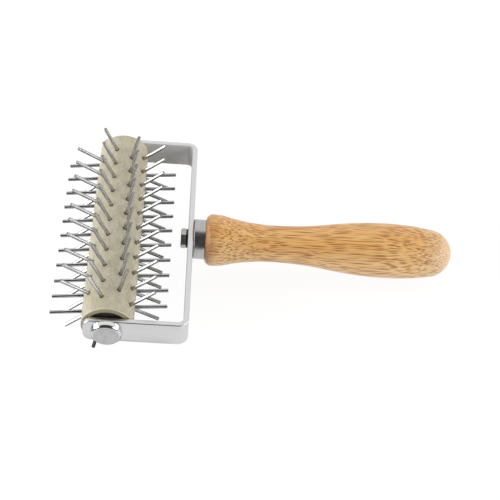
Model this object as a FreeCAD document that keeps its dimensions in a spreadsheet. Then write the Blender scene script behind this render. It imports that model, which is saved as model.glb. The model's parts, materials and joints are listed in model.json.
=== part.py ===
import FreeCAD
import Part
import Sketcher
import math
import os

# A dough docker: a roller full of pins turns on an axle in a strip yoke, which has a turned wooden handle.
# Each piece is drawn about the middle of the axle, X towards the handle, Y along the axle and Z up.
# One shift then stands the roller on Z = 0 and puts the origin under the middle of the bounding box.

# Driving dimensions in millimetres, degrees and counts
DIMENSIONS = {
    "sleeve_diameter": 28.6,
    "sleeve_wall": 2.8,
    "sleeve_length": 135,
    "core_recess": 1.8,
    "press_gap": 0.02,
    "running_gap": 0.08,
    "pin_width": 2,
    "pin_reach": 17.4,
    "pin_offset": 2.1,
    "pin_pitch": 11.35,
    "pin_field_shift": -1.6,
    "row_count": 10,
    "first_row_turn": -24.7,
    "long_row_pins": 11,
    "short_row_pins": 10,
    "axle_diameter": 8,
    "axle_stub": 2.4,
    "axle_chamfer": 0.6,
    "axle_hole_gap": 0.1,
    "yoke_gap": 136.2,
    "strip_width": 16,
    "strip_thickness": 3,
    "bar_reach": 41,
    "bend_radius": 3,
    "arm_overhang": 12.9,
    "arm_corner": 5,
    "cap_diameter": 17.4,
    "cap_height": 3.6,
    "cap_edge": 1.3,
    "screw_diameter": 6,
    "screw_length": 45,
    "screw_hole_gap": 0.2,
    "head_width": 10,
    "head_height": 3.4,
    "head_turn": -8,
    "washer_diameter": 11,
    "washer_thickness": 0.7,
    "washer_bore": 6.4,
    "ferrule_diameter": 22.8,
    "ferrule_length": 6.9,
    "ferrule_wall": 1.2,
    "handle_length": 142.4,
    "handle_edge": 1.3,
    "handle_face": 12.6,
    "bulge_at": 5,
    "bulge_radius": 14.8,
    "bulge_share": 0.2,
    "waist_at": 39,
    "waist_radius": 10.55,
    "waist_share": 0.49,
    "swell_at": 105,
    "swell_radius": 15.8,
    "dome_radius": 13.7,
}

# Places that several pieces share
SLEEVE_OUTSIDE = "dims.sleeve_diameter / 2"
SLEEVE_BORE = "(dims.sleeve_diameter / 2 - dims.sleeve_wall)"
SLEEVE_END = "dims.sleeve_length / 2"
PIN_TIP = "(dims.sleeve_diameter / 2 + dims.pin_reach)"
ARM_INSIDE = "dims.yoke_gap / 2"
ARM_OUTSIDE = "(dims.yoke_gap / 2 + dims.strip_thickness)"
BAR_OUTSIDE = "(dims.bar_reach + dims.strip_thickness)"
HEAD_SEAT = "(dims.bar_reach - dims.washer_thickness)"
HANDLE_FRONT = f"({BAR_OUTSIDE} + dims.ferrule_length)"
HANDLE_END = f"({HANDLE_FRONT} + dims.handle_length)"

# Sketch geometry counts its horizontal axis, which also owns the origin, as -1 and its vertical axis as -2
HORIZONTAL_AXIS = -1
VERTICAL_AXIS = -2
START, END, CENTRE = 1, 2, 3

# Lengths and volumes that differ by less than this count as equal
TOLERANCE = 0.01

UP = FreeCAD.Vector(0, 0, 1)
ALONG_X = FreeCAD.Vector(1, 0, 0)
ALONG_Y = FreeCAD.Vector(0, 1, 0)

doc = FreeCAD.newDocument("dough_docker")
sheet = doc.addObject("Spreadsheet::Sheet", "dims")
for line, (alias, size) in enumerate(DIMENSIONS.items(), start=1):
    sheet.set(f"A{line}", alias)
    sheet.set(f"B{line}", str(size))
    sheet.setAlias(f"B{line}", alias)
doc.recompute()


def value(expression):
    """The number that an expression on the sheet comes to."""
    return float(sheet.evalExpression(expression))


def origin_feature(body, role):
    """One of the body's own origin planes or axes."""
    return next(feature for feature in body.Origin.OriginFeatures if feature.Role == role)


def new_body(label):
    """An empty sub-part whose label names its file."""
    body = doc.addObject("PartDesign::Body", label)
    body.Label = label
    return body


def new_sketch(body, name, role="XY_Plane"):
    """An empty sketch on one of the body's origin planes."""
    sketch = body.newObject("Sketcher::SketchObject", f"{body.Name}_{name}")
    sketch.AttachmentSupport = (origin_feature(body, role), [""])
    sketch.MapMode = "FlatFace"
    return sketch


def hold_point(sketch, geometry, end, x, y):
    """Bind a point of the sketch to a pair of expressions, measured from the sketch's origin."""
    for direction, expression, axis in (("X", x, VERTICAL_AXIS), ("Y", y, HORIZONTAL_AXIS)):
        size = value(expression)
        if size == 0:
            sketch.addConstraint(Sketcher.Constraint("PointOnObject", geometry, end, axis))
            continue
        ends = [(HORIZONTAL_AXIS, START), (geometry, end)]
        if size < 0:
            ends.reverse()
            expression = f"-({expression})"
        constraint = Sketcher.Constraint(f"Distance{direction}", *ends[0], *ends[1], abs(size))
        sketch.setExpression(f"Constraints[{sketch.addConstraint(constraint)}]", expression)


def hold_radius(sketch, geometry, radius):
    """Bind the radius of an arc or circle to an expression."""
    index = sketch.addConstraint(Sketcher.Constraint("Radius", geometry, value(radius)))
    sketch.setExpression(f"Constraints[{index}]", radius)


def arc_between(first, last, radius, leftward):
    """The arc under half a circle from first to last; leftward arcs turn left on the way."""
    chord = last - first
    middle = (first + last) / 2
    rise = math.sqrt(radius**2 - chord.Length**2 / 4)
    side = UP.cross(chord).normalize() * (rise if leftward else -rise)
    centre = middle + side
    ends = (first, last) if leftward else (last, first)
    angles = [math.atan2(end.y - centre.y, end.x - centre.x) for end in ends]
    return Part.ArcOfCircle(Part.Circle(centre, UP, radius), *angles)


def outline(sketch, corners):
    """Close a profile through corners (x, y) or, where an arc follows, (x, y, radius, "left" or "right")."""
    places = [FreeCAD.Vector(value(corner[0]), value(corner[1]), 0) for corner in corners]
    edges = []
    for number, corner in enumerate(corners):
        first, last = places[number], places[(number + 1) % len(corners)]
        if len(corner) == 2:
            geometry = sketch.addGeometry(Part.LineSegment(first, last), False)
            edges.append((geometry, START, END))
            continue
        leftward = corner[3] == "left"
        geometry = sketch.addGeometry(arc_between(first, last, value(corner[2]), leftward), False)
        edges.append((geometry, START, END) if leftward else (geometry, END, START))
    for (geometry, _, end), (following, start, _) in zip(edges, edges[1:] + edges[:1]):
        sketch.addConstraint(Sketcher.Constraint("Coincident", geometry, end, following, start))
    for corner, (geometry, start, _) in zip(corners, edges):
        hold_point(sketch, geometry, start, corner[0], corner[1])
        if len(corner) > 2:
            hold_radius(sketch, geometry, corner[2])


def circle(sketch, radius):
    """A circle about the sketch's origin."""
    geometry = sketch.addGeometry(Part.Circle(FreeCAD.Vector(), UP, value(radius)), False)
    sketch.addConstraint(Sketcher.Constraint("Coincident", geometry, CENTRE, HORIZONTAL_AXIS, START))
    hold_radius(sketch, geometry, radius)


def hexagon(sketch, width, x="0", y="0"):
    """A hexagon of this width across flats about the point (x, y), with its upper side level."""
    radius = f"{width} / 2 / cos(30)"
    centre = FreeCAD.Vector(value(x), value(y), 0)
    guide = sketch.addGeometry(Part.Circle(centre, UP, value(radius)), True)
    hold_point(sketch, guide, CENTRE, x, y)
    hold_radius(sketch, guide, radius)
    turns = [math.radians(60 + 60 * number) for number in range(6)]
    spokes = [FreeCAD.Vector(math.cos(turn), math.sin(turn), 0) * value(radius) for turn in turns]
    corners = [centre + spoke for spoke in spokes]
    lines = []
    for first, last in zip(corners, corners[1:] + corners[:1]):
        lines.append(sketch.addGeometry(Part.LineSegment(first, last), False))
    sketch.addConstraint(Sketcher.Constraint("Horizontal", lines[0]))
    for side, following in zip(lines, lines[1:] + lines[:1]):
        sketch.addConstraint(Sketcher.Constraint("Coincident", side, END, following, START))
        sketch.addConstraint(Sketcher.Constraint("PointOnObject", side, START, guide))
    for side, following in zip(lines[:-1], lines[1:-1]):
        sketch.addConstraint(Sketcher.Constraint("Equal", side, following))


def revolve(body, corners, axis):
    """Turn a profile on the XY plane about the X axis ("H_Axis") or the Y axis ("V_Axis")."""
    sketch = new_sketch(body, "profile")
    outline(sketch, corners)
    feature = body.newObject("PartDesign::Revolution", f"{body.Name}_turned")
    feature.Profile = sketch
    feature.ReferenceAxis = (sketch, [axis])
    feature.Angle = 360
    return feature


def pad(body, sketch, length, side="One side"):
    """Raise a sketch by a bound length."""
    feature = body.newObject("PartDesign::Pad", f"{sketch.Name}_pad")
    feature.Profile = sketch
    feature.SideType = side
    feature.setExpression("Length", length)
    return feature


def cut_through(body, sketch):
    """Cut a sketch through the whole body, both ways, and make sure that it takes material away."""
    doc.recompute()
    volume_before = body.Shape.Volume
    feature = body.newObject("PartDesign::Pocket", f"{sketch.Name}_cut")
    feature.Profile = sketch
    feature.Type = "ThroughAll"
    feature.SideType = "Symmetric"
    doc.recompute()
    if body.Shape.Volume > volume_before - TOLERANCE:
        raise RuntimeError(f"{sketch.Name} cuts nothing from {body.Label}")


def first_pin(count):
    """Where a row's first pin stands along the roller."""
    return f"dims.pin_field_shift - ({count} - 1) / 2 * dims.pin_pitch"


def make_yoke():
    """A flat strip bent into a U round the roller, bored for the axle and the handle's screw."""
    body = new_body("yoke")
    bend = "dims.bend_radius"
    outer_bend = "(dims.bend_radius + dims.strip_thickness)"
    bend_x = "(dims.bar_reach - dims.bend_radius)"
    bend_y = f"({ARM_INSIDE} - dims.bend_radius)"
    arm_end = "-dims.arm_overhang"
    sketch = new_sketch(body, "strip")
    outline(sketch, [
        (arm_end, f"-{ARM_OUTSIDE}"),
        (bend_x, f"-{ARM_OUTSIDE}", outer_bend, "left"),
        (BAR_OUTSIDE, f"-{bend_y}"),
        (BAR_OUTSIDE, bend_y, outer_bend, "left"),
        (bend_x, ARM_OUTSIDE),
        (arm_end, ARM_OUTSIDE),
        (arm_end, ARM_INSIDE),
        (bend_x, ARM_INSIDE, bend, "right"),
        ("dims.bar_reach", bend_y),
        ("dims.bar_reach", f"-{bend_y}", bend, "right"),
        (bend_x, f"-{ARM_INSIDE}"),
        (arm_end, f"-{ARM_INSIDE}"),
    ])
    strip = pad(body, sketch, "dims.strip_width", "Symmetric")
    doc.recompute()
    arm_end_x = value(arm_end)
    tips = []
    for number, edge in enumerate(strip.Shape.Edges, start=1):
        box = edge.BoundBox
        across_strip = box.YLength > value("dims.strip_thickness") / 2
        at_arm_end = abs(box.XMin - arm_end_x) < TOLERANCE and abs(box.XMax - arm_end_x) < TOLERANCE
        if across_strip and at_arm_end:
            tips.append(f"Edge{number}")
    rounded = body.newObject("PartDesign::Fillet", "yoke_arm_corners")
    rounded.Base = (strip, tips)
    rounded.setExpression("Radius", "dims.arm_corner")
    axle_hole = new_sketch(body, "axle_hole", "XZ_Plane")
    circle(axle_hole, "dims.axle_diameter / 2 + dims.axle_hole_gap")
    cut_through(body, axle_hole)
    screw_hole = new_sketch(body, "screw_hole", "YZ_Plane")
    circle(screw_hole, "dims.screw_diameter / 2 + dims.screw_hole_gap")
    cut_through(body, screw_hole)
    return body


def make_sleeve():
    """The roller's tube; the pins are driven into its wall, so each row is a press fit in it."""
    body = new_body("roller_sleeve")
    revolve(body, [
        (SLEEVE_BORE, f"-{SLEEVE_END}"),
        (SLEEVE_OUTSIDE, f"-{SLEEVE_END}"),
        (SLEEVE_OUTSIDE, SLEEVE_END),
        (SLEEVE_BORE, SLEEVE_END),
    ], "V_Axis")
    return body


def make_core():
    """The roller's inside, set back from the sleeve's ends, which backs the pins and runs on the axle."""
    body = new_body("roller_core")
    bore = "(dims.axle_diameter / 2 + dims.running_gap)"
    outside = f"({SLEEVE_BORE} - dims.press_gap)"
    end = f"({SLEEVE_END} - dims.core_recess)"
    revolve(body, [(bore, f"-{end}"), (outside, f"-{end}"), (outside, end), (bore, end)], "V_Axis")
    return body


def row_turn(number):
    """How far a row is turned about the axle from straight up."""
    return f"(dims.first_row_turn + 360 / dims.row_count * ({number} - 1))"


def make_pin_row(number):
    """One row of straight cut pins, set off the roller's middle so that all lean alike."""
    body = new_body(f"pin_row_{number:02d}")
    count = "dims.long_row_pins" if number % 2 else "dims.short_row_pins"
    sketch = new_sketch(body, "section")
    sketch.setExpression("AttachmentOffset.Base.z", SLEEVE_BORE)
    hexagon(sketch, "dims.pin_width", "dims.pin_offset", first_pin(count))
    pin = pad(body, sketch, "dims.sleeve_wall + dims.pin_reach")
    row = body.newObject("PartDesign::LinearPattern", f"{body.Name}_row")
    row.Originals = [pin]
    row.Direction = (origin_feature(body, "Y_Axis"), [""])
    row.Mode = "Spacing"
    row.setExpression("Offset", "dims.pin_pitch")
    row.setExpression("Occurrences", count)
    body.Tip = row
    return body


def make_axle():
    """A plain rod with chamfered ends that stand out of both arms."""
    body = new_body("axle")
    radius = "dims.axle_diameter / 2"
    end = f"({ARM_OUTSIDE} + dims.axle_stub)"
    point = f"({radius} - dims.axle_chamfer)"
    shoulder = f"({end} - dims.axle_chamfer)"
    revolve(body, [
        ("0", f"-{end}"),
        (point, f"-{end}"),
        (radius, f"-{shoulder}"),
        (radius, shoulder),
        (point, end),
        ("0", end),
    ], "V_Axis")
    return body


def make_cap(label):
    """A cap pressed on the axle's end and seated on the arm, with a broken edge and a flat face."""
    body = new_body(label)
    rim = "dims.cap_diameter / 2"
    top = f"({ARM_OUTSIDE} + dims.cap_height)"
    bore = "(dims.axle_diameter / 2 + dims.press_gap)"
    floor = f"({ARM_OUTSIDE} + dims.axle_stub)"
    revolve(body, [
        (bore, ARM_OUTSIDE),
        (rim, ARM_OUTSIDE),
        (rim, f"{top} - dims.cap_edge"),
        (f"{rim} - dims.cap_edge", top),
        ("0", top),
        ("0", floor),
        (bore, floor),
    ], "V_Axis")
    return body


def make_screw():
    """A hexagon-head wood screw from inside the yoke, through the bar and the ferrule into the handle."""
    body = new_body("handle_screw")
    head = new_sketch(body, "head", "YZ_Plane")
    head.setExpression("AttachmentOffset.Base.z", f"{HEAD_SEAT} - dims.head_height")
    hexagon(head, "dims.head_width")
    pad(body, head, "dims.head_height")
    shank = new_sketch(body, "shank", "YZ_Plane")
    shank.setExpression("AttachmentOffset.Base.z", HEAD_SEAT)
    circle(shank, "dims.screw_diameter / 2")
    pad(body, shank, "dims.screw_length")
    return body


def make_screw_washer():
    """A thin washer under the screw's head."""
    body = new_body("screw_washer")
    sketch = new_sketch(body, "ring", "YZ_Plane")
    sketch.setExpression("AttachmentOffset.Base.z", HEAD_SEAT)
    circle(sketch, "dims.washer_diameter / 2")
    circle(sketch, "dims.washer_bore / 2")
    pad(body, sketch, "dims.washer_thickness")
    return body


def make_ferrule():
    """A steel ring between the yoke and the handle's shoulder, pushed over the handle's tenon."""
    body = new_body("ferrule")
    outside = "dims.ferrule_diameter / 2"
    inside = f"({outside} - dims.ferrule_wall)"
    revolve(body, [
        (BAR_OUTSIDE, inside),
        (BAR_OUTSIDE, outside),
        (HANDLE_FRONT, outside),
        (HANDLE_FRONT, inside),
    ], "H_Axis")
    return body


def reverse_curve(first, last, share):
    """The point where two arcs between level ends meet, and both radii; share is the first arc's part."""
    run = f"({last[0]} - {first[0]})"
    fall = f"({last[1]} - {first[1]})"
    both = f"(({run}^2 + {fall}^2) / (2 * abs({fall})))"
    meeting = (f"{first[0]} + {share} * {run}", f"{first[1]} + {share} * {fall}")
    return meeting, f"{share} * {both}", f"(1 - {share}) * {both}"


def on_arc(top, radius, x):
    """The point at x on an arc that is level at its top."""
    return x, f"{top[1]} - {radius} + sqrt(({radius})^2 - ({x} - {top[0]})^2)"


def make_handle():
    """Turned wood in tangent arcs: a tenon in the ferrule, a bulge, a waist, a long swell and a round end.

    The rise to the swell is one arc drawn in two parts.
    """
    body = new_body("handle")
    tenon = "(dims.ferrule_diameter / 2 - dims.ferrule_wall - dims.press_gap)"
    pilot = "(dims.screw_diameter / 2 + dims.press_gap)"
    pilot_end = f"({HEAD_SEAT} + dims.screw_length)"
    bulge = (f"({HANDLE_FRONT} + dims.bulge_at)", "dims.bulge_radius")
    waist = (f"({HANDLE_FRONT} + dims.waist_at)", "dims.waist_radius")
    swell = (f"({HANDLE_FRONT} + dims.swell_at)", "dims.swell_radius")
    falling, bulge_arc, waist_arc = reverse_curve(bulge, waist, "dims.bulge_share")
    rising, lower_arc, swell_arc = reverse_curve(waist, swell, "dims.waist_share")
    edge = on_arc(bulge, bulge_arc, f"({HANDLE_FRONT} + dims.handle_edge)")
    rise_middle = on_arc(swell, swell_arc, f"(({rising[0]} + {swell[0]}) / 2)")
    dome = "dims.dome_radius"
    dome_x = f"({HANDLE_END} - {dome})"
    dome_run = f"({dome_x} - {swell[0]})"
    fade_arc = f"(({dome_run}^2 + {swell[1]}^2 - {dome}^2) / (2 * ({swell[1]} - {dome})))"
    lean = f"({dome} / ({fade_arc} - {dome}))"
    fade_end = (f"{dome_x} + {dome_run} * {lean}", f"({fade_arc} - {swell[1]}) * {lean}")
    revolve(body, [
        (BAR_OUTSIDE, pilot),
        (BAR_OUTSIDE, tenon),
        (HANDLE_FRONT, tenon),
        (HANDLE_FRONT, "dims.handle_face"),
        (*edge, bulge_arc, "right"),
        (*falling, waist_arc, "left"),
        (*waist, lower_arc, "left"),
        (*rising, swell_arc, "right"),
        (*rise_middle, swell_arc, "right"),
        (*swell, fade_arc, "right"),
        (*fade_end, dome, "right"),
        (HANDLE_END, "0"),
        (pilot_end, "0"),
        (pilot_end, pilot),
    ], "H_Axis")
    return body


def pin_reaches():
    """How far each row's two outermost corners reach behind the axle and below it."""
    half_width = "dims.pin_width / 2 / cos(30)"
    behind, below = [], []
    for number in range(1, int(value("dims.row_count")) + 1):
        turn = row_turn(number)
        for side in (f"(dims.pin_offset - {half_width})", f"(dims.pin_offset + {half_width})"):
            behind.append(f"-({side} * cos({turn}) + {PIN_TIP} * sin({turn}))")
            below.append(f"({side} * sin({turn}) - {PIN_TIP} * cos({turn}))")
    return behind, below


def stand(body, axis=UP, turn=0):
    """Turn a sub-part about the axle's middle and move it to where the roller stands on Z = 0."""
    body.Placement = FreeCAD.Placement(FreeCAD.Vector(), FreeCAD.Rotation(axis, turn))
    body.setExpression("Placement.Base.x", f"({roller_back} - {HANDLE_END}) / 2")
    body.setExpression("Placement.Base.z", roller_height)
    sub_parts.append(body)


roller_back, roller_height = (max(reaches, key=value) for reaches in pin_reaches())
sub_parts = []
for make_piece in (make_yoke, make_axle, make_sleeve, make_core):
    stand(make_piece())
for make_piece in (make_screw_washer, make_ferrule, make_handle):
    stand(make_piece())
stand(make_screw(), ALONG_X, value("dims.head_turn"))
for end_name, turned in (("front", 180), ("rear", 0)):
    stand(make_cap(f"axle_cap_{end_name}"), UP, turned)
for row_number in range(1, int(value("dims.row_count")) + 1):
    stand(make_pin_row(row_number), ALONG_Y, value(row_turn(row_number)))
doc.recompute()

for thing in doc.Objects:
    if "Invalid" in thing.State or "Error" in thing.State:
        raise RuntimeError(f"{thing.Label} failed: {thing.State}")
for piece in sub_parts:
    if piece.Shape.isNull() or not piece.Shape.isValid():
        raise RuntimeError(f"{piece.Label} has no valid shape")

os.makedirs("parts", exist_ok=True)
for piece in sub_parts:
    piece.Shape.exportStep(f"parts/{piece.Label}.step")
    print(piece.Label, len(piece.Shape.Solids), "solids", round(piece.Shape.Volume, 1), "mm3")
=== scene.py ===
import json
import math
import random

import bmesh
import bpy
from mathutils import Matrix, Vector


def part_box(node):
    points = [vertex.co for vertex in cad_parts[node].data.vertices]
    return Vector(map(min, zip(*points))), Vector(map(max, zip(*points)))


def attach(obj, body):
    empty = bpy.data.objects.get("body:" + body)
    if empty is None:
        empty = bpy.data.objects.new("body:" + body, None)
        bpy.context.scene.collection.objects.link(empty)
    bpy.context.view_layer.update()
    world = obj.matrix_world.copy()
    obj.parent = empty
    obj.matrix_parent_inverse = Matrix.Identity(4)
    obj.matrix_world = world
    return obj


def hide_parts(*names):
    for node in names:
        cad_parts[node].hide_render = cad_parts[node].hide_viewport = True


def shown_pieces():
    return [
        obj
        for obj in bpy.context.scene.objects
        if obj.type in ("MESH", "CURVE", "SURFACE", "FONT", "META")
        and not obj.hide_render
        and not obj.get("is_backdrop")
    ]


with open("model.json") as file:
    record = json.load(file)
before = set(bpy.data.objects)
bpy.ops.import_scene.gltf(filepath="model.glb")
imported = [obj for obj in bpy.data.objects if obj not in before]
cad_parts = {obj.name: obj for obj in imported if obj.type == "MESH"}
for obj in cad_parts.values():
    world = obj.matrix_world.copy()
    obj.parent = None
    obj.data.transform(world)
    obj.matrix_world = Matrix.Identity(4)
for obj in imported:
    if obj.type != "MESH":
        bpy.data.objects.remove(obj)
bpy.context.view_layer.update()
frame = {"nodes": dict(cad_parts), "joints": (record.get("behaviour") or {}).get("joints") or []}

MM = 0.001
ALONG_X = Vector((1, 0, 0))
ALONG_Y = Vector((0, 1, 0))
UP = Vector((0, 0, 1))

# Places that the frame gives, measured from the middle of the axle
AXLE = Vector(frame["joints"][0]["pos_m"])
ARM_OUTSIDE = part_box("yoke")[1].y
ARM_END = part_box("yoke")[0].x - AXLE.x
BAR_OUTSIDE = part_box("yoke")[1].x - AXLE.x
SLEEVE_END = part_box("roller_sleeve")[1].y
SLEEVE_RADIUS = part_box("roller_sleeve")[1].z - AXLE.z
CORE_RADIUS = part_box("roller_core")[1].z - AXLE.z
AXLE_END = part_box("axle")[1].y
AXLE_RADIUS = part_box("axle")[1].z - AXLE.z
CAP_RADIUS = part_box("axle_cap_rear")[1].z - AXLE.z
CAP_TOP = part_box("axle_cap_rear")[1].y
HEAD_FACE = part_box("handle_screw")[0].x - AXLE.x
HEAD_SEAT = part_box("screw_washer")[0].x - AXLE.x
SCREW_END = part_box("handle_screw")[1].x - AXLE.x
FERRULE_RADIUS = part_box("ferrule")[1].z - AXLE.z
HANDLE_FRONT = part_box("ferrule")[1].x - AXLE.x
HANDLE_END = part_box("handle")[1].x - AXLE.x
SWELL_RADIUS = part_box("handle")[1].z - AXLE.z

# Sizes that several functions need
STRIP_THICKNESS = 3 * MM
FERRULE_WALL = 1.2 * MM
SCREW_RADIUS = 3 * MM
BULGE_RADIUS = 14.8 * MM
CLEARANCE = 0.02 * MM
MERGE_DISTANCE = 0.001 * MM

# Ten rows of pins, drilled a little to one side of the roller's middle and not quite evenly round it
FIRST_ROW_TURN, ROW_STEP, ROW_COUNT = -24.7, 36, 10
ROW_TURNS = [math.radians(FIRST_ROW_TURN + ROW_STEP * row) for row in range(ROW_COUNT)]
ROW_SCATTER = [math.radians(turn) for turn in (0.9, 2.1, 0.6, 0.1, -2.6, 0.0, 0.0, -0.8, -1.5, 1.7)]
LONG_ROW, SHORT_ROW = 11, 10
PIN_RADIUS = 1.0 * MM
PIN_TIP = 31.7 * MM
PIN_OFFSET = 2.1 * MM
PIN_LEAN = 0.004

# The camera stands where the photograph was taken from
CAMERA_PLACE = Vector((-45.6, -522.8, 601.7)) * MM
CAMERA_AIM = Vector((-3.9, -5.9, 30.9)) * MM
CAMERA_ROLL = math.radians(6.93)
CAMERA_LENS, CAMERA_SENSOR = 96.97, 36

# The tool lies on the lowest pins and on the handle's swell
FLOOR_TILT = math.radians(5.35)
FLOOR_HALF_SIZE = 4.0

# Two soft lamps: place in metres and power in watts
SOFTBOXES = {
    "softbox_left": ((-1.35, -0.3, 0.35), 16.0),
    "softbox_right": ((1.25, -0.55, 0.55), 13.0),
}
SOFTBOX_WIDTH, SOFTBOX_HEIGHT = 1.8, 0.8

# Noise stays mostly between these two values
NOISE_LOW, NOISE_HIGH = 0.3, 0.7

# Sockets of the mix node, which has a set of them for each kind of value
MIX_SHARE = 0
MIX_NUMBERS, MIXED_NUMBER = (2, 3), 0
MIX_COLOURS, MIXED_COLOUR = (6, 7), 2


def shade(red, green, blue):
    """A colour as it shows on a screen, 0 to 255, as the linear values that a shader takes."""
    values = [level / 255 for level in (red, green, blue)]
    linear = [v / 12.92 if v <= 0.04045 else ((v + 0.055) / 1.055) ** 2.4 for v in values]
    return (*linear, 1.0)


# Steps that the finishes are made of

def new_finish(name, **constants):
    """A material with one principled shader, whose even values are set on its own sockets."""
    finish = bpy.data.materials.new(name)
    finish.use_nodes = True
    shader = finish.node_tree.nodes["Principled BSDF"]
    for socket, value in constants.items():
        shader.inputs[socket.replace("_", " ").title().replace("Ior", "IOR")].default_value = value
    return finish, shader


def add(finish, kind, inputs=None, **settings):
    """A node with its settings, and its inputs set to values or linked to other nodes' outputs."""
    node = finish.node_tree.nodes.new(kind)
    for setting, value in settings.items():
        setattr(node, setting, value)
    for socket, source in (inputs or {}).items():
        if isinstance(source, bpy.types.NodeSocket):
            finish.node_tree.links.new(source, node.inputs[socket])
        else:
            node.inputs[socket].default_value = source
    return node


def feed(finish, source, shader, socket):
    """Link an output to a shader's input."""
    finish.node_tree.links.new(source, shader.inputs[socket])


def calculate(finish, operation, first, last=0.0):
    """One step of arithmetic."""
    return add(finish, "ShaderNodeMath", {0: first, 1: last}, operation=operation).outputs[0]


def product(finish, first, last):
    """Two numbers multiplied."""
    return calculate(finish, "MULTIPLY", first, last)


def spread(finish, value, low, high, start=NOISE_LOW, end=NOISE_HIGH):
    """Carry a value from the range start to end over to the range low to high."""
    node = add(
        finish, "ShaderNodeMapRange",
        {"Value": value, "From Min": start, "From Max": end, "To Min": low, "To Max": high},
    )
    return node.outputs[0]


def blend(finish, share, first, last):
    """Mix two colours."""
    inputs = {MIX_SHARE: share, MIX_COLOURS[0]: first, MIX_COLOURS[1]: last}
    return add(finish, "ShaderNodeMix", inputs, data_type="RGBA").outputs[MIXED_COLOUR]


def blend_values(finish, share, first, last):
    """Mix two numbers."""
    inputs = {MIX_SHARE: share, MIX_NUMBERS[0]: first, MIX_NUMBERS[1]: last}
    return add(finish, "ShaderNodeMix", inputs, data_type="FLOAT").outputs[MIXED_NUMBER]


def mottled(finish, pattern, light, dark):
    """A colour that goes from light to dark with a noise pattern."""
    return blend(finish, spread(finish, pattern, 0, 1), light, dark)


def relief(finish, shader, height, depth):
    """Raise and lower the surface by a value, this many millimetres deep."""
    node = add(finish, "ShaderNodeBump", {"Height": height, "Distance": depth * MM, "Strength": 1.0})
    feed(finish, node.outputs[0], shader, "Normal")


def place(finish):
    """The point on the piece, in metres."""
    return add(finish, "ShaderNodeTexCoord").outputs["Object"]


def place_along(finish, axis):
    """The point's place along one axis, in metres."""
    return add(finish, "ShaderNodeSeparateXYZ", {0: place(finish)}).outputs[axis]


def off_middle(finish):
    """How far the point is from the middle of the roller's length, in metres."""
    return calculate(finish, "ABSOLUTE", place_along(finish, "Y"))


def distance_from(finish, direction):
    """How far the point is from a line through the axle's middle, in metres."""
    offset = add(finish, "ShaderNodeVectorMath", {0: place(finish), 1: AXLE}, operation="SUBTRACT")
    flat = add(
        finish, "ShaderNodeVectorMath", {0: offset.outputs[0], 1: Vector((1, 1, 1)) - direction},
        operation="MULTIPLY",
    )
    return add(finish, "ShaderNodeVectorMath", {0: flat.outputs[0]}, operation="LENGTH").outputs["Value"]


def stretched(finish, size, turn=(0, 0, 0), spot=None):
    """The point in a pattern whose cells have this size in millimetres along each axis."""
    scale = [length * MM for length in size]
    node = add(
        finish, "ShaderNodeMapping", {"Vector": spot or place(finish), "Rotation": turn, "Scale": scale},
        vector_type="TEXTURE",
    )
    return node.outputs[0]


def noise(finish, size, detail=3.0, turn=(0, 0, 0), spot=None):
    """Cloudy values whose patches have this size in millimetres along each axis."""
    inputs = {"Vector": stretched(finish, size, turn, spot), "Scale": 1.0, "Detail": detail}
    return add(finish, "ShaderNodeTexNoise", inputs).outputs[0]


def wandering(finish, size, reach):
    """The point on the piece, moved about across the grain by up to half of this many millimetres."""
    noise_middle = (0.5, 0.5, 0.5)
    across = (0, reach * MM, reach * MM)
    inputs = {"Vector": stretched(finish, size), "Scale": 1.0, "Detail": 1.0}
    cloud = add(finish, "ShaderNodeTexNoise", inputs).outputs["Color"]
    centred = add(finish, "ShaderNodeVectorMath", {0: cloud, 1: noise_middle}, operation="SUBTRACT")
    return add(
        finish, "ShaderNodeVectorMath", {0: centred.outputs[0], 1: across, 2: place(finish)},
        operation="MULTIPLY_ADD",
    ).outputs[0]


def fibres(finish, size, turn, spot, thin, thick):
    """One inside scattered spindles, fading to zero at their skin; thin and thick are shares of a cell."""
    inputs = {"Vector": stretched(finish, size, turn, spot), "Scale": 1.0}
    distance = add(finish, "ShaderNodeTexVoronoi", inputs).outputs["Distance"]
    return spread(finish, distance, 1.0, 0.0, thin, thick)


def brushed_strip(finish):
    """Rolling marks that follow the strip: along the arms, and across on the bar."""
    arm_start = ARM_OUTSIDE - 6 * MM
    arm = noise(finish, (18, 0.5, 0.5))
    bar = noise(finish, (0.5, 18, 0.5))
    on_arm = calculate(finish, "GREATER_THAN", off_middle(finish), arm_start)
    return blend_values(finish, on_arm, bar, arm)


def rings_about(finish, direction):
    """Turning marks: rings about a line through the axle's middle, with a few scuffs."""
    rings_per_metre = 1300.0
    scuff_share = 0.55
    inputs = {"W": distance_from(finish, direction), "Scale": rings_per_metre, "Detail": 3.0}
    ring = add(finish, "ShaderNodeTexNoise", inputs, noise_dimensions="1D").outputs[0]
    scuff = noise(finish, (5, 5, 5))
    return blend_values(finish, scuff_share, ring, scuff)


# Finishes

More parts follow.
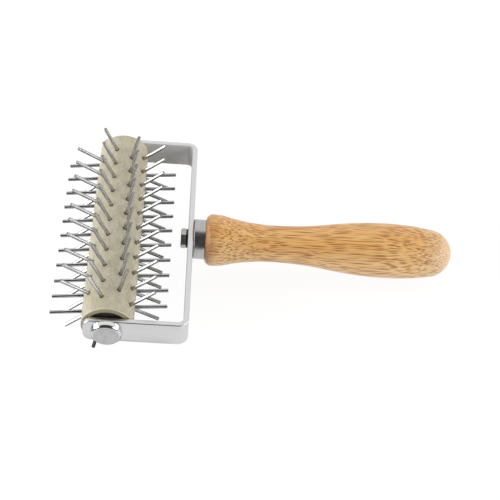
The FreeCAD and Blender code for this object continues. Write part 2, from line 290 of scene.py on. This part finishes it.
def handle_wood():
    """Lacquered light hardwood: long vessels follow the grain, and slopes cut them into short flecks."""
    finish, shader = new_finish("lacquered_wood", coat_weight=0.4, coat_roughness=0.4)
    straw, honey, cream = shade(252, 206, 132), shade(238, 174, 94), shade(255, 228, 176)
    fine_brown, vessel_brown = shade(204, 126, 50), shade(164, 84, 20)
    # Colours of the painted shade by the ferrule and of the painted highlight on the domed end
    ferrule_shade_brown, highlight_grey = shade(186, 112, 56), shade(222, 214, 192)
    fine_share, vessel_share = 0.4, 0.92
    ferrule_shade_length, highlight_length = 7 * MM, 22 * MM
    grain = (0.0, -0.064, -0.058)
    pale_way = Vector((0, -0.8, -0.6))
    pale_start = AXLE.dot(pale_way) - 2 * MM
    pale_end = AXLE.dot(pale_way) + 13 * MM
    front, back = AXLE.x + HANDLE_FRONT, AXLE.x + HANDLE_END

    spot = wandering(finish, (30, 8, 8), reach=2.2)
    tone = noise(finish, (45, 5, 5), turn=grain, spot=spot)
    vessel = fibres(finish, (20, 0.74, 0.74), grain, spot, thin=0.2, thick=0.56)
    fine = fibres(finish, (12, 0.42, 0.42), grain, spot, thin=0.2, thick=0.55)
    # Painted shade: darker towards the ferrule
    ferrule_shade = spread(finish, place_along(finish, "X"), 0.55, 0.0, front, front + ferrule_shade_length)
    # Painted highlight: paler over the last part of the domed end
    painted_highlight = spread(finish, place_along(finish, "X"), 0.0, 0.4, back - highlight_length, back)
    # Painted light: the lower front side is made paler, as the lit side
    depth = add(finish, "ShaderNodeVectorMath", {0: spot, 1: pale_way}, operation="DOT_PRODUCT")
    lit_side = spread(finish, depth.outputs["Value"], 0.0, 0.55, pale_start, pale_end)

    ground = mottled(finish, tone, straw, honey)
    ground = blend(finish, lit_side, ground, cream)
    ground = blend(finish, product(finish, fine, fine_share), ground, fine_brown)
    ground = blend(finish, product(finish, vessel, vessel_share), ground, vessel_brown)
    ground = blend(finish, ferrule_shade, ground, ferrule_shade_brown)
    feed(finish, blend(finish, painted_highlight, ground, highlight_grey), shader, "Base Color")
    feed(finish, spread(finish, vessel, 0.36, 0.5, 0.0, 1.0), shader, "Roughness")
    relief(finish, shader, calculate(finish, "SUBTRACT", 1.0, vessel), depth=0.012)
    return finish


def sleeve_plastic():
    """Extruded beige pipe with a slightly uneven satin skin; painted shade darkens the pin holes and the end
    face, and a painted highlight makes the cut edge pale.
    """
    finish, shader = new_finish("extruded_pipe", ior=1.5, coat_weight=0.3, coat_roughness=0.4)
    beige, drab, line_drab = shade(214, 207, 184), shade(194, 186, 158), shade(186, 177, 149)
    speck_drab, hole_shade = shade(160, 151, 124), shade(30, 24, 12)
    end_face_shade, rim_highlight = shade(166, 157, 124), shade(244, 240, 222)
    wall_deep, wall_skin = SLEEVE_RADIUS - 0.25 * MM, SLEEVE_RADIUS - 0.03 * MM
    last_hole = SLEEVE_END - 1 * MM
    end_start, end_full = SLEEVE_END - 0.6 * MM, SLEEVE_END - 0.2 * MM

    line = noise(finish, (0.8, 60, 0.8), detail=2.0)
    cloud = noise(finish, (5, 8, 5), detail=4.0)
    speck = noise(finish, (1.4, 2, 1.4))
    skin = noise(finish, (0.35, 0.35, 0.35), detail=2.0)
    in_wall = spread(finish, distance_from(finish, ALONG_Y), 1.0, 0.0, wall_deep, wall_skin)
    among_holes = calculate(finish, "LESS_THAN", off_middle(finish), last_hole)
    near_end = spread(finish, off_middle(finish), 0.0, 1.0, end_start, end_full)
    rim = product(finish, near_end, calculate(finish, "SUBTRACT", 1.0, in_wall))

    ground = mottled(finish, cloud, beige, drab)
    ground = blend(finish, spread(finish, line, 0, 0.3), ground, line_drab)
    ground = blend(finish, spread(finish, speck, 0, 0.55, 0.42, 0.75), ground, speck_drab)
    # Painted shade in the pin holes
    ground = blend(finish, product(finish, in_wall, among_holes), ground, hole_shade)
    # Painted shade on the end face, and a painted highlight on its outer rim
    ground = blend(finish, product(finish, in_wall, near_end), ground, end_face_shade)
    feed(finish, blend(finish, rim, ground, rim_highlight), shader, "Base Color")
    feed(finish, spread(finish, cloud, 0.3, 0.42), shader, "Roughness")
    relief(finish, shader, skin, depth=0.01)
    return finish


def core_plastic():
    """Black moulded plastic."""
    finish, shader = new_finish("black_moulding", specular_ior_level=0.2)
    black, worn_black = shade(66, 63, 61), shade(84, 80, 78)
    cloud = noise(finish, (3, 3, 3))
    feed(finish, blend(finish, cloud, black, worn_black), shader, "Base Color")
    feed(finish, spread(finish, cloud, 0.5, 0.65), shader, "Roughness")
    relief(finish, shader, noise(finish, (0.4, 0.4, 0.4), detail=2.0), depth=0.02)
    return finish


def rolled_strip():
    """Satin strip, bright on its outside; painted shade makes its inner faces dull and darker, with much less
    metal in them.
    """
    finish, shader = new_finish("rolled_strip")
    light, dark = shade(217, 217, 218), shade(213, 213, 214)
    inner_skin = STRIP_THICKNESS - 0.3 * MM
    pattern = brushed_strip(finish)
    # Painted shade: the inner faces are made far less metallic, so they show darker
    inside_arm = calculate(finish, "LESS_THAN", off_middle(finish), ARM_OUTSIDE - inner_skin)
    inside_bar = calculate(finish, "LESS_THAN", place_along(finish, "X"), AXLE.x + BAR_OUTSIDE - inner_skin)
    inside = product(finish, inside_arm, inside_bar)
    feed(finish, mottled(finish, pattern, light, dark), shader, "Base Color")
    feed(finish, spread(finish, inside, 1.0, 0.1, 0.0, 1.0), shader, "Metallic")
    feed(finish, spread(finish, pattern, 0.31, 0.33), shader, "Roughness")
    relief(finish, shader, pattern, depth=0.0001)
    return finish


def bright_wire():
    """Bright drawn wire with a rough cut end, and painted shade that darkens each pin near where it stands in
    the sleeve.
    """
    finish, shader = new_finish("bright_wire", metallic=1.0, specular_tint=shade(120, 120, 120))
    light, dark = shade(214, 214, 214), shade(196, 196, 197)
    base_shade_brown, cut_grey = shade(96, 90, 66), shade(150, 150, 150)
    base_shade_length, burr = 5 * MM, 0.1 * MM
    cut_roughness = 0.5
    pattern = noise(finish, (4, 4, 4))
    radius = distance_from(finish, ALONG_Y)
    # Painted shade near the sleeve
    base_shade = spread(finish, radius, 0.55, 0.0, SLEEVE_RADIUS, SLEEVE_RADIUS + base_shade_length)
    cut_end = spread(finish, radius, 0.0, 1.0, PIN_TIP - burr, PIN_TIP)
    ground = blend(finish, base_shade, mottled(finish, pattern, light, dark), base_shade_brown)
    feed(finish, blend(finish, cut_end, ground, cut_grey), shader, "Base Color")
    gloss = spread(finish, pattern, 0.1, 0.18)
    feed(finish, blend_values(finish, cut_end, gloss, cut_roughness), shader, "Roughness")
    relief(finish, shader, pattern, depth=0.002)
    return finish


def pressed_cap():
    """Pressed steel with turning marks, and a painted highlight that makes its round shoulder brighter."""
    finish, shader = new_finish("pressed_cap", metallic=1.0)
    light, dark, bright = shade(196, 196, 195), shade(168, 168, 168), shade(240, 240, 239)
    highlight_start, highlight_full = CAP_RADIUS - 2.0 * MM, CAP_RADIUS - 1.0 * MM
    pattern = rings_about(finish, ALONG_Y)
    # Painted highlight on the round shoulder
    painted_highlight = spread(finish, distance_from(finish, ALONG_Y), 0.0, 0.6, highlight_start, highlight_full)
    ground = mottled(finish, pattern, light, dark)
    feed(finish, blend(finish, painted_highlight, ground, bright), shader, "Base Color")
    feed(finish, spread(finish, pattern, 0.1, 0.2), shader, "Roughness")
    relief(finish, shader, pattern, depth=0.003)
    return finish


def polished_ring():
    """Polished ring with fine turning marks, and painted shade as a dark line where it meets the yoke."""
    finish, shader = new_finish("polished_ring", metallic=1.0)
    light, dark, gap_shade_dark = shade(188, 191, 190), shade(168, 170, 168), shade(46, 44, 40)
    edge = AXLE.x + BAR_OUTSIDE
    gap_deep, gap_end = edge + 0.25 * MM, edge + 0.4 * MM
    pattern = noise(finish, (0.25, 8, 8), detail=2.0)
    # Painted shade in the gap at the yoke
    gap_shade = spread(finish, place_along(finish, "X"), 0.9, 0.0, gap_deep, gap_end)
    ground = mottled(finish, pattern, light, dark)
    feed(finish, blend(finish, gap_shade, ground, gap_shade_dark), shader, "Base Color")
    feed(finish, spread(finish, pattern, 0.24, 0.34), shader, "Roughness")
    relief(finish, shader, pattern, depth=0.001)
    return finish


def plated_screw():
    """Plated steel with small pits, and painted shade as a dark line where the head stands on its washer."""
    finish, shader = new_finish("plated_screw", metallic=1.0)
    light, dark, gap_shade_dark = shade(190, 189, 184), shade(160, 159, 154), shade(44, 43, 40)
    seat = AXLE.x + HEAD_SEAT
    gap_start, gap_deep = seat - 0.6 * MM, seat - 0.4 * MM
    pattern = noise(finish, (1.6, 1.6, 1.6), detail=4.0)
    # Painted shade in the gap at the washer
    gap_shade = spread(finish, place_along(finish, "X"), 0.0, 0.9, gap_start, gap_deep)
    ground = mottled(finish, pattern, light, dark)
    feed(finish, blend(finish, gap_shade, ground, gap_shade_dark), shader, "Base Color")
    feed(finish, spread(finish, pattern, 0.28, 0.42), shader, "Roughness")
    relief(finish, shader, pattern, depth=0.004)
    return finish


def drawn_rod():
    """Drawn steel with long marks."""
    finish, shader = new_finish("drawn_rod", metallic=1.0)
    light, dark = shade(190, 190, 192), shade(160, 160, 164)
    pattern = noise(finish, (0.6, 12, 0.6))
    feed(finish, mottled(finish, pattern, light, dark), shader, "Base Color")
    feed(finish, spread(finish, pattern, 0.25, 0.4), shader, "Roughness")
    relief(finish, shader, pattern, depth=0.002)
    return finish


FINISHES = {
    "yoke_steel": rolled_strip(),
    "cap_steel": pressed_cap(),
    "ferrule_steel": polished_ring(),
    "screw_steel": plated_screw(),
    "pin_steel": bright_wire(),
    "axle_steel": drawn_rod(),
    "handle_wood": handle_wood(),
    "sleeve_plastic": sleeve_plastic(),
    "core_plastic": core_plastic(),
}


# Steps that the pieces are made of

def show(name, shape, slot, body, replaced):
    """Turn a finished bmesh into a piece that rides on its body in place of its plain solid."""
    sharp_from = math.radians(35)
    mesh = bpy.data.meshes.new(name)
    shape.to_mesh(mesh)
    shape.free()
    for face in mesh.polygons:
        face.use_smooth = True
    mesh.set_sharp_from_angle(angle=sharp_from)
    mesh.materials.append(FINISHES[slot])
    piece = bpy.data.objects.new(name, mesh)
    bpy.context.scene.collection.objects.link(piece)
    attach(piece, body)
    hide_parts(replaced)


def combined(shape, other, operation):
    """Cut one bmesh out of another, or join the two."""
    objects = []
    for name, part in (("blank", shape), ("other", other)):
        mesh = bpy.data.meshes.new(name)
        part.to_mesh(mesh)
        part.free()
        objects.append(bpy.data.objects.new(name, mesh))
        bpy.context.scene.collection.objects.link(objects[-1])
    blank, tool = objects
    step = blank.modifiers.new("combined", "BOOLEAN")
    step.operation = operation
    step.solver = "EXACT"
    step.object = tool
    result = bpy.data.meshes.new_from_object(blank.evaluated_get(bpy.context.evaluated_depsgraph_get()))
    made = bmesh.new()
    made.from_mesh(result)
    for spare in objects:
        bpy.data.meshes.remove(spare.data)
    bpy.data.meshes.remove(result)
    return made


def turned(profile, direction, steps):
    """Spin a closed profile of (place, radius) points about a line through the axle's middle."""
    shape = bmesh.new()
    corners = [shape.verts.new(AXLE + direction * spot + UP * radius) for spot, radius in profile]
    edges = [shape.edges.new(pair) for pair in zip(corners, corners[1:] + corners[:1])]
    bmesh.ops.spin(
        shape, geom=corners + edges, cent=AXLE, axis=direction, angle=math.tau, steps=steps, use_merge=True,
    )
    bmesh.ops.remove_doubles(shape, verts=shape.verts, dist=MERGE_DISTANCE)
    bmesh.ops.dissolve_degenerate(shape, edges=shape.edges, dist=MERGE_DISTANCE)
    bmesh.ops.recalc_face_normals(shape, faces=shape.faces)
    return shape


def arc(centre, radius, start, end, steps):
    """Points on an arc, from one angle to another in degrees."""
    turns = [math.radians(start + (end - start) * step / steps) for step in range(steps + 1)]
    return [(centre[0] + radius * math.cos(turn), centre[1] + radius * math.sin(turn)) for turn in turns]


def level_arc(peak, bend, spot):
    """The radius of an arc that is level at its peak; a negative bend makes it hollow."""
    return peak[1] - bend + math.copysign(math.sqrt(bend**2 - (spot - peak[0]) ** 2), bend)


def reverse_curve(first, last, share):
    """Where two arcs between level ends meet, and both bends."""
    run, rise = last[0] - first[0], last[1] - first[1]
    both = (run**2 + rise**2) / (2 * abs(rise))
    return first[0] + share * run, share * both, (1 - share) * both


def soften(shape, edges, width, segments):
    """Round off edges."""
    bmesh.ops.bevel(
        shape, geom=edges, offset=width, offset_type="OFFSET", affect="EDGES", segments=segments,
        profile=0.5, material=-1, clamp_overlap=True,
    )


def sharp_edges(shape, angle):
    """Edges where two faces meet at more than an angle in degrees."""
    return [edge for edge in shape.edges if edge.is_manifold and edge.calc_face_angle() > math.radians(angle)]


def rod(shape, base, direction, radius, tip_radius, length, sides):
    """Add a straight rod or cone that starts at base, and give the rim of its far end."""
    turn = UP.rotation_difference(direction).to_matrix().to_4x4()
    middle = Matrix.Translation(base + direction * length / 2)
    made = bmesh.ops.create_cone(
        shape, cap_ends=True, segments=sides, radius1=radius, radius2=tip_radius, depth=length,
        matrix=middle @ turn,
    )["verts"]
    far = {vert for vert in made if (vert.co - base).dot(direction) > length / 2}
    return [edge for edge in shape.edges if far.issuperset(edge.verts)]


def push_strip(shape, face, travel):
    """Lengthen a strip from its end face, and give the new end."""
    made = bmesh.ops.extrude_face_region(shape, geom=[face])["geom"]
    moved = [item for item in made if isinstance(item, bmesh.types.BMVert)]
    bmesh.ops.translate(shape, verts=moved, vec=travel)
    bmesh.ops.delete(shape, geom=[face], context="FACES_ONLY")
    return next(item for item in made if isinstance(item, bmesh.types.BMFace))


def bend_strip(shape, face, centre):
    """Carry a strip on from its end face through a quarter turn, and give the new end."""
    bend_steps = 12
    geometry = [face, *face.edges, *face.verts]
    made = bmesh.ops.spin(
        shape, geom=geometry, cent=AXLE + centre, axis=UP, angle=math.pi / 2, steps=bend_steps,
    )["geom_last"]
    return next(item for item in made if isinstance(item, bmesh.types.BMFace))


# Pieces

def bent_strip():
    """A flat strip, bent twice into a U."""
    half_width, bend_inside = 8 * MM, 3 * MM
    arm_inside = STRIP_THICKNESS - ARM_OUTSIDE
    bend_x = BAR_OUTSIDE - bend_inside - STRIP_THICKNESS
    bend_y = ARM_OUTSIDE - bend_inside - STRIP_THICKNESS
    section = (
        (-ARM_OUTSIDE, -half_width),
        (arm_inside, -half_width),
        (arm_inside, half_width),
        (-ARM_OUTSIDE, half_width),
    )
    shape = bmesh.new()
    end = shape.faces.new([shape.verts.new(AXLE + Vector((ARM_END, y, z))) for y, z in section])
    bmesh.ops.duplicate(shape, geom=[end])
    end = push_strip(shape, end, ALONG_X * (bend_x - ARM_END))
    end = bend_strip(shape, end, Vector((bend_x, -bend_y, 0)))
    end = push_strip(shape, end, ALONG_Y * 2 * bend_y)
    end = bend_strip(shape, end, Vector((bend_x, bend_y, 0)))
    push_strip(shape, end, -ALONG_X * (bend_x - ARM_END))
    bmesh.ops.remove_doubles(shape, verts=shape.verts, dist=MERGE_DISTANCE)
    bmesh.ops.recalc_face_normals(shape, faces=shape.faces)
    return shape


def arm_corners(shape):
    """The edges across the strip's thickness at both arm ends."""
    near = 0.01 * MM
    tip = AXLE.x + ARM_END
    ends = [edge for edge in shape.edges if all(abs(vert.co.x - tip) < near for vert in edge.verts)]
    return [edge for edge in ends if abs(edge.verts[0].co.y - edge.verts[1].co.y) > STRIP_THICKNESS / 2]


def build_yoke():
    """One bent strip, with rounded arm ends, soft edges, two axle holes and a screw hole."""
    corner, corner_steps = 5 * MM, 8
    edge, edge_steps, edge_angle = 0.45 * MM, 3, 50
    axle_hole, axle_hole_sides = AXLE_RADIUS + CLEARANCE, 48
    screw_hole, screw_hole_sides = 3.2 * MM, 32
    past = 1 * MM
    shape = bent_strip()
    soften(shape, arm_corners(shape), corner, corner_steps)
    soften(shape, sharp_edges(shape, edge_angle), edge, edge_steps)
    drill = bmesh.new()
    rod(
        drill, AXLE - ALONG_Y * (ARM_OUTSIDE + past), ALONG_Y, axle_hole, axle_hole,
        2 * (ARM_OUTSIDE + past), axle_hole_sides,
    )
    rod(
        drill, AXLE + ALONG_X * (BAR_OUTSIDE - STRIP_THICKNESS - past), ALONG_X, screw_hole, screw_hole,
        STRIP_THICKNESS + 2 * past, screw_hole_sides,
    )
    return combined(shape, drill, "DIFFERENCE")


def build_sleeve(rows):
    """The pipe, with a countersunk hole round every pin."""
    wall_inside = CORE_RADIUS + CLEARANCE
    edge, steps = 0.35 * MM, 128
    hole_radius, mouth_radius, hole_sides = 1.05 * MM, 1.3 * MM, 14
    hole_floor, hole_mouth = 1.5 * MM, 0.3 * MM
    shape = turned([
        (-SLEEVE_END, wall_inside),
        (-SLEEVE_END, SLEEVE_RADIUS - edge),
        (-SLEEVE_END + edge, SLEEVE_RADIUS),
        (SLEEVE_END - edge, SLEEVE_RADIUS),
        (SLEEVE_END, SLEEVE_RADIUS - edge),
        (SLEEVE_END, wall_inside),
    ], ALONG_Y, steps)
    drill = bmesh.new()
    for row in rows:
        for base, outward in row:
            rod(
                drill, base + outward * (SLEEVE_RADIUS - hole_floor), outward, hole_radius, mouth_radius,
                hole_floor + hole_mouth, hole_sides,
            )
    return combined(shape, drill, "DIFFERENCE")


def pin_places(number):
    """Where the pins of a row start beside the axle's line, and which way they point."""
    chance = random.Random(number)
    count = LONG_ROW if number % 2 else SHORT_ROW
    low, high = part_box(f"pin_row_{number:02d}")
    first, last = low.y + PIN_RADIUS, high.y - PIN_RADIUS
    turn = ROW_TURNS[number - 1] + ROW_SCATTER[number - 1]
    outward = Vector((math.sin(turn), 0, math.cos(turn)))
    aside = Vector((math.cos(turn), 0, -math.sin(turn))) * PIN_OFFSET
    places = []
    for step in range(count):
        lean = Vector((chance.gauss(0, 1), chance.gauss(0, 1), chance.gauss(0, 1))) * PIN_LEAN
        spot = first + (last - first) * step / (count - 1)
        places.append((Vector((AXLE.x, spot, AXLE.z)) + aside, (outward + lean).normalized()))
    return places


def build_pins(row):
    """One row of straight wire pins with cut ends."""
    sides = 16
    burr, burr_steps = 0.15 * MM, 1
    length = PIN_TIP - CORE_RADIUS
    shape = bmesh.new()
    for base, outward in row:
        rim = rod(shape, base + outward * CORE_RADIUS, outward, PIN_RADIUS, PIN_RADIUS, length, sides)
        soften(shape, rim, burr, burr_steps)
    return shape


def build_cap(side):
    """A pressed cap: a short wall, a round shoulder and a slightly domed face."""
    foot = 0.5 * MM
    wall = CAP_RADIUS - 0.3 * MM
    shoulder, shoulder_steps = 1.7 * MM, 12
    dome, dome_shares = 0.2 * MM, (0.8, 0.6, 0.4, 0.2, 0)
    steps = 96
    face = CAP_TOP - dome
    face_radius = wall - shoulder
    bore = AXLE_RADIUS + CLEARANCE
    profile = [(ARM_OUTSIDE, bore), (ARM_OUTSIDE, CAP_RADIUS), (ARM_OUTSIDE + foot, CAP_RADIUS)]
    profile += arc((face - shoulder, face_radius), shoulder, 90, 0, shoulder_steps)
    profile += [(face + dome * (1 - share**2), face_radius * share) for share in dome_shares]
    profile += [(AXLE_END, 0), (AXLE_END, bore)]
    return turned(profile, ALONG_Y * side, steps)


def build_ferrule():
    """A steel ring with a rolled edge at the yoke and a plain one at the handle."""
    rolled, rolled_steps = 1.0 * MM, 6
    plain, plain_steps = 0.25 * MM, 4
    steps = 96
    bore = FERRULE_RADIUS - FERRULE_WALL
    profile = [(BAR_OUTSIDE, bore)]
    profile += arc((BAR_OUTSIDE + rolled, FERRULE_RADIUS - rolled), rolled, 180, 90, rolled_steps)
    profile += arc((HANDLE_FRONT - plain, FERRULE_RADIUS - plain), plain, 90, 0, plain_steps)
    profile += [(HANDLE_FRONT, bore)]
    return turned(profile, ALONG_X, steps)


def handle_curves(dome_x, dome):
    """Points on the long curves from the bulge to the domed end, and where the dome starts."""
    bulge = (HANDLE_FRONT + 5 * MM, BULGE_RADIUS)
    waist = (HANDLE_FRONT + 39 * MM, 10.55 * MM)
    swell = (HANDLE_FRONT + 105 * MM, SWELL_RADIUS)
    bulge_share, waist_share = 0.2, 0.49
    step, fewest = 1.5 * MM, 4
    fall_end, bulge_bend, waist_bend = reverse_curve(bulge, waist, bulge_share)
    rise_start, lower_bend, swell_bend = reverse_curve(waist, swell, waist_share)
    run = dome_x - swell[0]
    fade_bend = (run**2 + swell[1] ** 2 - dome**2) / (2 * (swell[1] - dome))
    fade_end = dome_x + run * dome / (fade_bend - dome)
    stretches = (
        (bulge[0], fall_end, bulge, bulge_bend),
        (fall_end, waist[0], waist, -waist_bend),
        (waist[0], rise_start, waist, -lower_bend),
        (rise_start, swell[0], swell, swell_bend),
        (swell[0], fade_end, swell, fade_bend),
    )
    points = []
    for start, end, peak, bend in stretches:
        count = max(fewest, round((end - start) / step))
        spots = [start + (end - start) * number / count for number in range(count)]
        points += [(spot, level_arc(peak, bend, spot)) for spot in spots]
    return points, fade_end


def build_handle():
    """Turned wood: a tenon in the ferrule, a shoulder, a bulge, a waist, a long swell and a domed end."""
    shoulder, shoulder_steps = 4 * MM, 10
    dome, dome_steps = 13.7 * MM, 18
    steps = 128
    tenon = FERRULE_RADIUS - FERRULE_WALL - CLEARANCE
    pilot = SCREW_RADIUS + CLEARANCE
    dome_x = HANDLE_END - dome
    curves, fade_end = handle_curves(dome_x, dome)
    fade_turn = math.degrees(math.acos((fade_end - dome_x) / dome))
    profile = [(BAR_OUTSIDE, pilot), (BAR_OUTSIDE, tenon), (HANDLE_FRONT, tenon)]
    profile += arc((HANDLE_FRONT + shoulder, BULGE_RADIUS - shoulder), shoulder, 180, 90, shoulder_steps)
    profile += curves
    profile += arc((dome_x, 0), dome, fade_turn, 0, dome_steps)
    profile += [(SCREW_END, 0), (SCREW_END, pilot)]
    return turned(profile, ALONG_X, steps)


def hexagon_head():
    """A hexagon head with both rims turned off at a slope."""
    sides, steps = 6, 96
    flat = 5 * MM
    corner = flat / math.cos(math.pi / sides)
    slope, past = 0.6 * MM, 0.1 * MM
    narrow, wide, clear = flat - 4 * past, corner + past, 2 * corner
    head_turn = Matrix.Rotation(math.radians(-8), 3, "X")
    head = bmesh.new()
    rod(head, AXLE + ALONG_X * HEAD_FACE, ALONG_X, corner, corner, HEAD_SEAT - HEAD_FACE, sides)
    bmesh.ops.rotate(head, verts=head.verts, cent=AXLE, matrix=head_turn)
    around = turned([
        (HEAD_FACE - past, narrow),
        (HEAD_FACE + slope, wide),
        (HEAD_SEAT - slope, wide),
        (HEAD_SEAT + past, narrow),
        (HEAD_SEAT + past, clear),
        (HEAD_FACE - past, clear),
    ], ALONG_X, steps)
    return combined(head, around, "DIFFERENCE")


def build_screw():
    """A hexagon head on a plain shank with a point."""
    root, point, tip = 0.2 * MM, 6.2 * MM, 0.2 * MM
    steps = 24
    shank = turned([
        (HEAD_SEAT - root, 0),
        (HEAD_SEAT - root, SCREW_RADIUS),
        (SCREW_END - point, SCREW_RADIUS),
        (SCREW_END, tip),
        (SCREW_END, 0),
    ], ALONG_X, steps)
    return combined(hexagon_head(), shank, "UNION")


rows = [pin_places(number) for number in range(1, ROW_COUNT + 1)]
show("bent_yoke", build_yoke(), "yoke_steel", "frame", "yoke")
show("drilled_sleeve", build_sleeve(rows), "sleeve_plastic", "roller", "roller_sleeve")
for number, row in enumerate(rows, start=1):
    show(f"wire_pins_{number:02d}", build_pins(row), "pin_steel", "roller", f"pin_row_{number:02d}")
show("domed_cap_front", build_cap(-1), "cap_steel", "frame", "axle_cap_front")
show("domed_cap_rear", build_cap(1), "cap_steel", "frame", "axle_cap_rear")
show("rolled_ferrule", build_ferrule(), "ferrule_steel", "frame", "ferrule")
show("turned_handle", build_handle(), "handle_wood", "frame", "handle")
show("hexagon_screw", build_screw(), "screw_steel", "frame", "handle_screw")
for node, slot in (("roller_core", "core_plastic"), ("axle", "axle_steel"), ("screw_washer", "screw_steel")):
    mesh = frame["nodes"][node].data
    mesh.materials.clear()
    mesh.materials.append(FINISHES[slot])


# Stage

def stage_piece(name, shape, finish):
    """A piece of the studio."""
    mesh = bpy.data.meshes.new(name)
    shape.to_mesh(mesh)
    shape.free()
    mesh.materials.append(finish)
    piece = bpy.data.objects.new(name, mesh)
    bpy.context.scene.collection.objects.link(piece)
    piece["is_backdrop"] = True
    return piece


def mirrored_glow(finish):
    """How bright the floor shows in a reflection.

    It is a glow with a painted shadow close under the roller, bright around it, and painted shade past lines
    to the front and to the left.
    """
    shadow_reach, shadow_samples = 150 * MM, 8
    shadow_glow, shadow_sky, open_sky = 0.04, 0.62, 0.92
    shadow_middle = AXLE.x - 9 * MM
    side_start, side_end = 39 * MM, 45 * MM
    before_start, before_end = -72 * MM, -84 * MM
    front_glow, front_far, front_near = 0.05, -190 * MM, -160 * MM
    left_glow, left_far, left_near = 0.3, AXLE.x - 76 * MM, AXLE.x - 62 * MM

    # Painted shadow under the roller, from ambient occlusion
    sky = add(finish, "ShaderNodeAmbientOcclusion", {"Distance": shadow_reach}, samples=shadow_samples)
    under_roller = spread(finish, sky.outputs["AO"], shadow_glow, 1.0, shadow_sky, open_sky)
    offset = calculate(finish, "SUBTRACT", place_along(finish, "X"), shadow_middle)
    beside = spread(finish, calculate(finish, "ABSOLUTE", offset), 0.0, 1.0, side_start, side_end)
    before = spread(finish, place_along(finish, "Y"), 1.0, 0.0, before_end, before_start)
    around = calculate(finish, "MAXIMUM", beside, before)
    lit_part = calculate(finish, "MAXIMUM", under_roller, around)
    # Painted shade past the front and left lines
    front_shade = spread(finish, place_along(finish, "Y"), front_glow, 1.0, front_far, front_near)
    left_shade = spread(finish, place_along(finish, "X"), left_glow, 1.0, left_far, left_near)
    return product(finish, lit_part, product(finish, front_shade, left_shade))


def white_floor():
    """A white table that shows as white where it is lit and keeps the tool's soft shadow; in reflections it
    is a glow with painted shade.
    """
    white, thin_white = (0.9, 0.9, 0.9, 1.0), (0.16, 0.16, 0.16, 1.0)
    finish = bpy.data.materials.new("white_floor")
    finish.use_nodes = True
    nodes = finish.node_tree.nodes
    nodes.remove(nodes["Principled BSDF"])
    path = add(finish, "ShaderNodeLightPath").outputs
    direct = calculate(finish, "MAXIMUM", path["Is Camera Ray"], path["Is Transmission Ray"])
    paint = add(finish, "ShaderNodeBsdfDiffuse", {"Color": white}).outputs[0]
    thin_paint = add(finish, "ShaderNodeBsdfDiffuse", {"Color": thin_white}).outputs[0]
    bright = add(finish, "ShaderNodeEmission", {"Color": white, "Strength": 1.0}).outputs[0]
    mirrored = add(finish, "ShaderNodeEmission", {"Strength": mirrored_glow(finish)}).outputs[0]
    plain_view = add(finish, "ShaderNodeAddShader", {0: thin_paint, 1: bright}).outputs[0]
    lit = add(finish, "ShaderNodeMixShader", {0: path["Is Glossy Ray"], 1: paint, 2: mirrored}).outputs[0]
    both = add(finish, "ShaderNodeMixShader", {0: direct, 1: lit, 2: plain_view}).outputs[0]
    finish.node_tree.links.new(both, nodes["Material Output"].inputs["Surface"])
    return finish


def set_floor():
    """A plane that touches the tool from below, tilted as the tool lies on it."""
    normal = Vector((-math.sin(FLOOR_TILT), 0, math.cos(FLOOR_TILT)))
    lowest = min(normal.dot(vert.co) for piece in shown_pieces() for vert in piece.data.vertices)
    level = Matrix.Translation(normal * lowest) @ Matrix.Rotation(-FLOOR_TILT, 4, "Y")
    shape = bmesh.new()
    bmesh.ops.create_grid(shape, x_segments=1, y_segments=1, size=FLOOR_HALF_SIZE, matrix=level)
    stage_piece("floor", shape, white_floor())


def set_flag():
    """A dark studio flag over the camera's side, from the front horizon to overhead."""
    reach, half_width = 1.5, 1.5
    sweep, steps = math.radians(91), 24
    finish, _ = new_finish("flag_cloth", base_color=shade(54, 54, 55), roughness=1.0)
    shape = bmesh.new()
    ends = [shape.verts.new((x, -reach, 0.0)) for x in (-half_width, half_width)]
    edge = shape.edges.new(ends)
    bmesh.ops.spin(shape, geom=[*ends, edge], cent=(0, 0, 0), axis=(-1, 0, 0), angle=sweep, steps=steps)
    flag = stage_piece("flag", shape, finish)
    flag.visible_camera = False


def set_world():
    """White walls all round, a little weaker as a source of light than as they are seen."""
    bounced, viewed = 0.9, 1.0
    world = bpy.data.worlds.new("studio")
    bpy.context.scene.world = world
    world.use_nodes = True
    background = world.node_tree.nodes["Background"]
    path = add(world, "ShaderNodeLightPath").outputs
    camera_or_gloss = calculate(world, "MAXIMUM", path["Is Camera Ray"], path["Is Glossy Ray"])
    seen = calculate(world, "MAXIMUM", camera_or_gloss, path["Is Transmission Ray"])
    feed(world, spread(world, seen, bounced, viewed, 0.0, 1.0), background, "Strength")
    background.inputs["Color"].default_value = (1.0, 1.0, 1.0, 1.0)


def set_softbox(name, spot, power):
    """A wide soft lamp that faces the tool."""
    lamp = bpy.data.lights.new(name, "AREA")
    lamp.shape = "RECTANGLE"
    lamp.energy = power
    lamp.size = SOFTBOX_WIDTH
    lamp.size_y = SOFTBOX_HEIGHT
    stand = bpy.data.objects.new(name, lamp)
    stand.location = spot
    stand.rotation_mode = "QUATERNION"
    stand.rotation_quaternion = (-Vector(spot)).to_track_quat("-Z", "Y")
    bpy.context.scene.collection.objects.link(stand)


def set_camera():
    """The photograph's camera."""
    data = bpy.data.cameras.new("camera")
    data.sensor_width = CAMERA_SENSOR
    data.lens = CAMERA_LENS
    camera = bpy.data.objects.new("camera", data)
    camera.location = CAMERA_PLACE
    camera.rotation_mode = "QUATERNION"
    level = (CAMERA_AIM - CAMERA_PLACE).to_track_quat("-Z", "Y")
    camera.rotation_quaternion = level @ Matrix.Rotation(CAMERA_ROLL, 3, "Z").to_quaternion()
    bpy.context.scene.collection.objects.link(camera)
    bpy.context.scene.camera = camera


set_floor()
set_flag()
set_world()
for name, (spot, power) in SOFTBOXES.items():
    set_softbox(name, spot, power)
set_camera()
bpy.context.scene.view_settings.view_transform = "Standard"
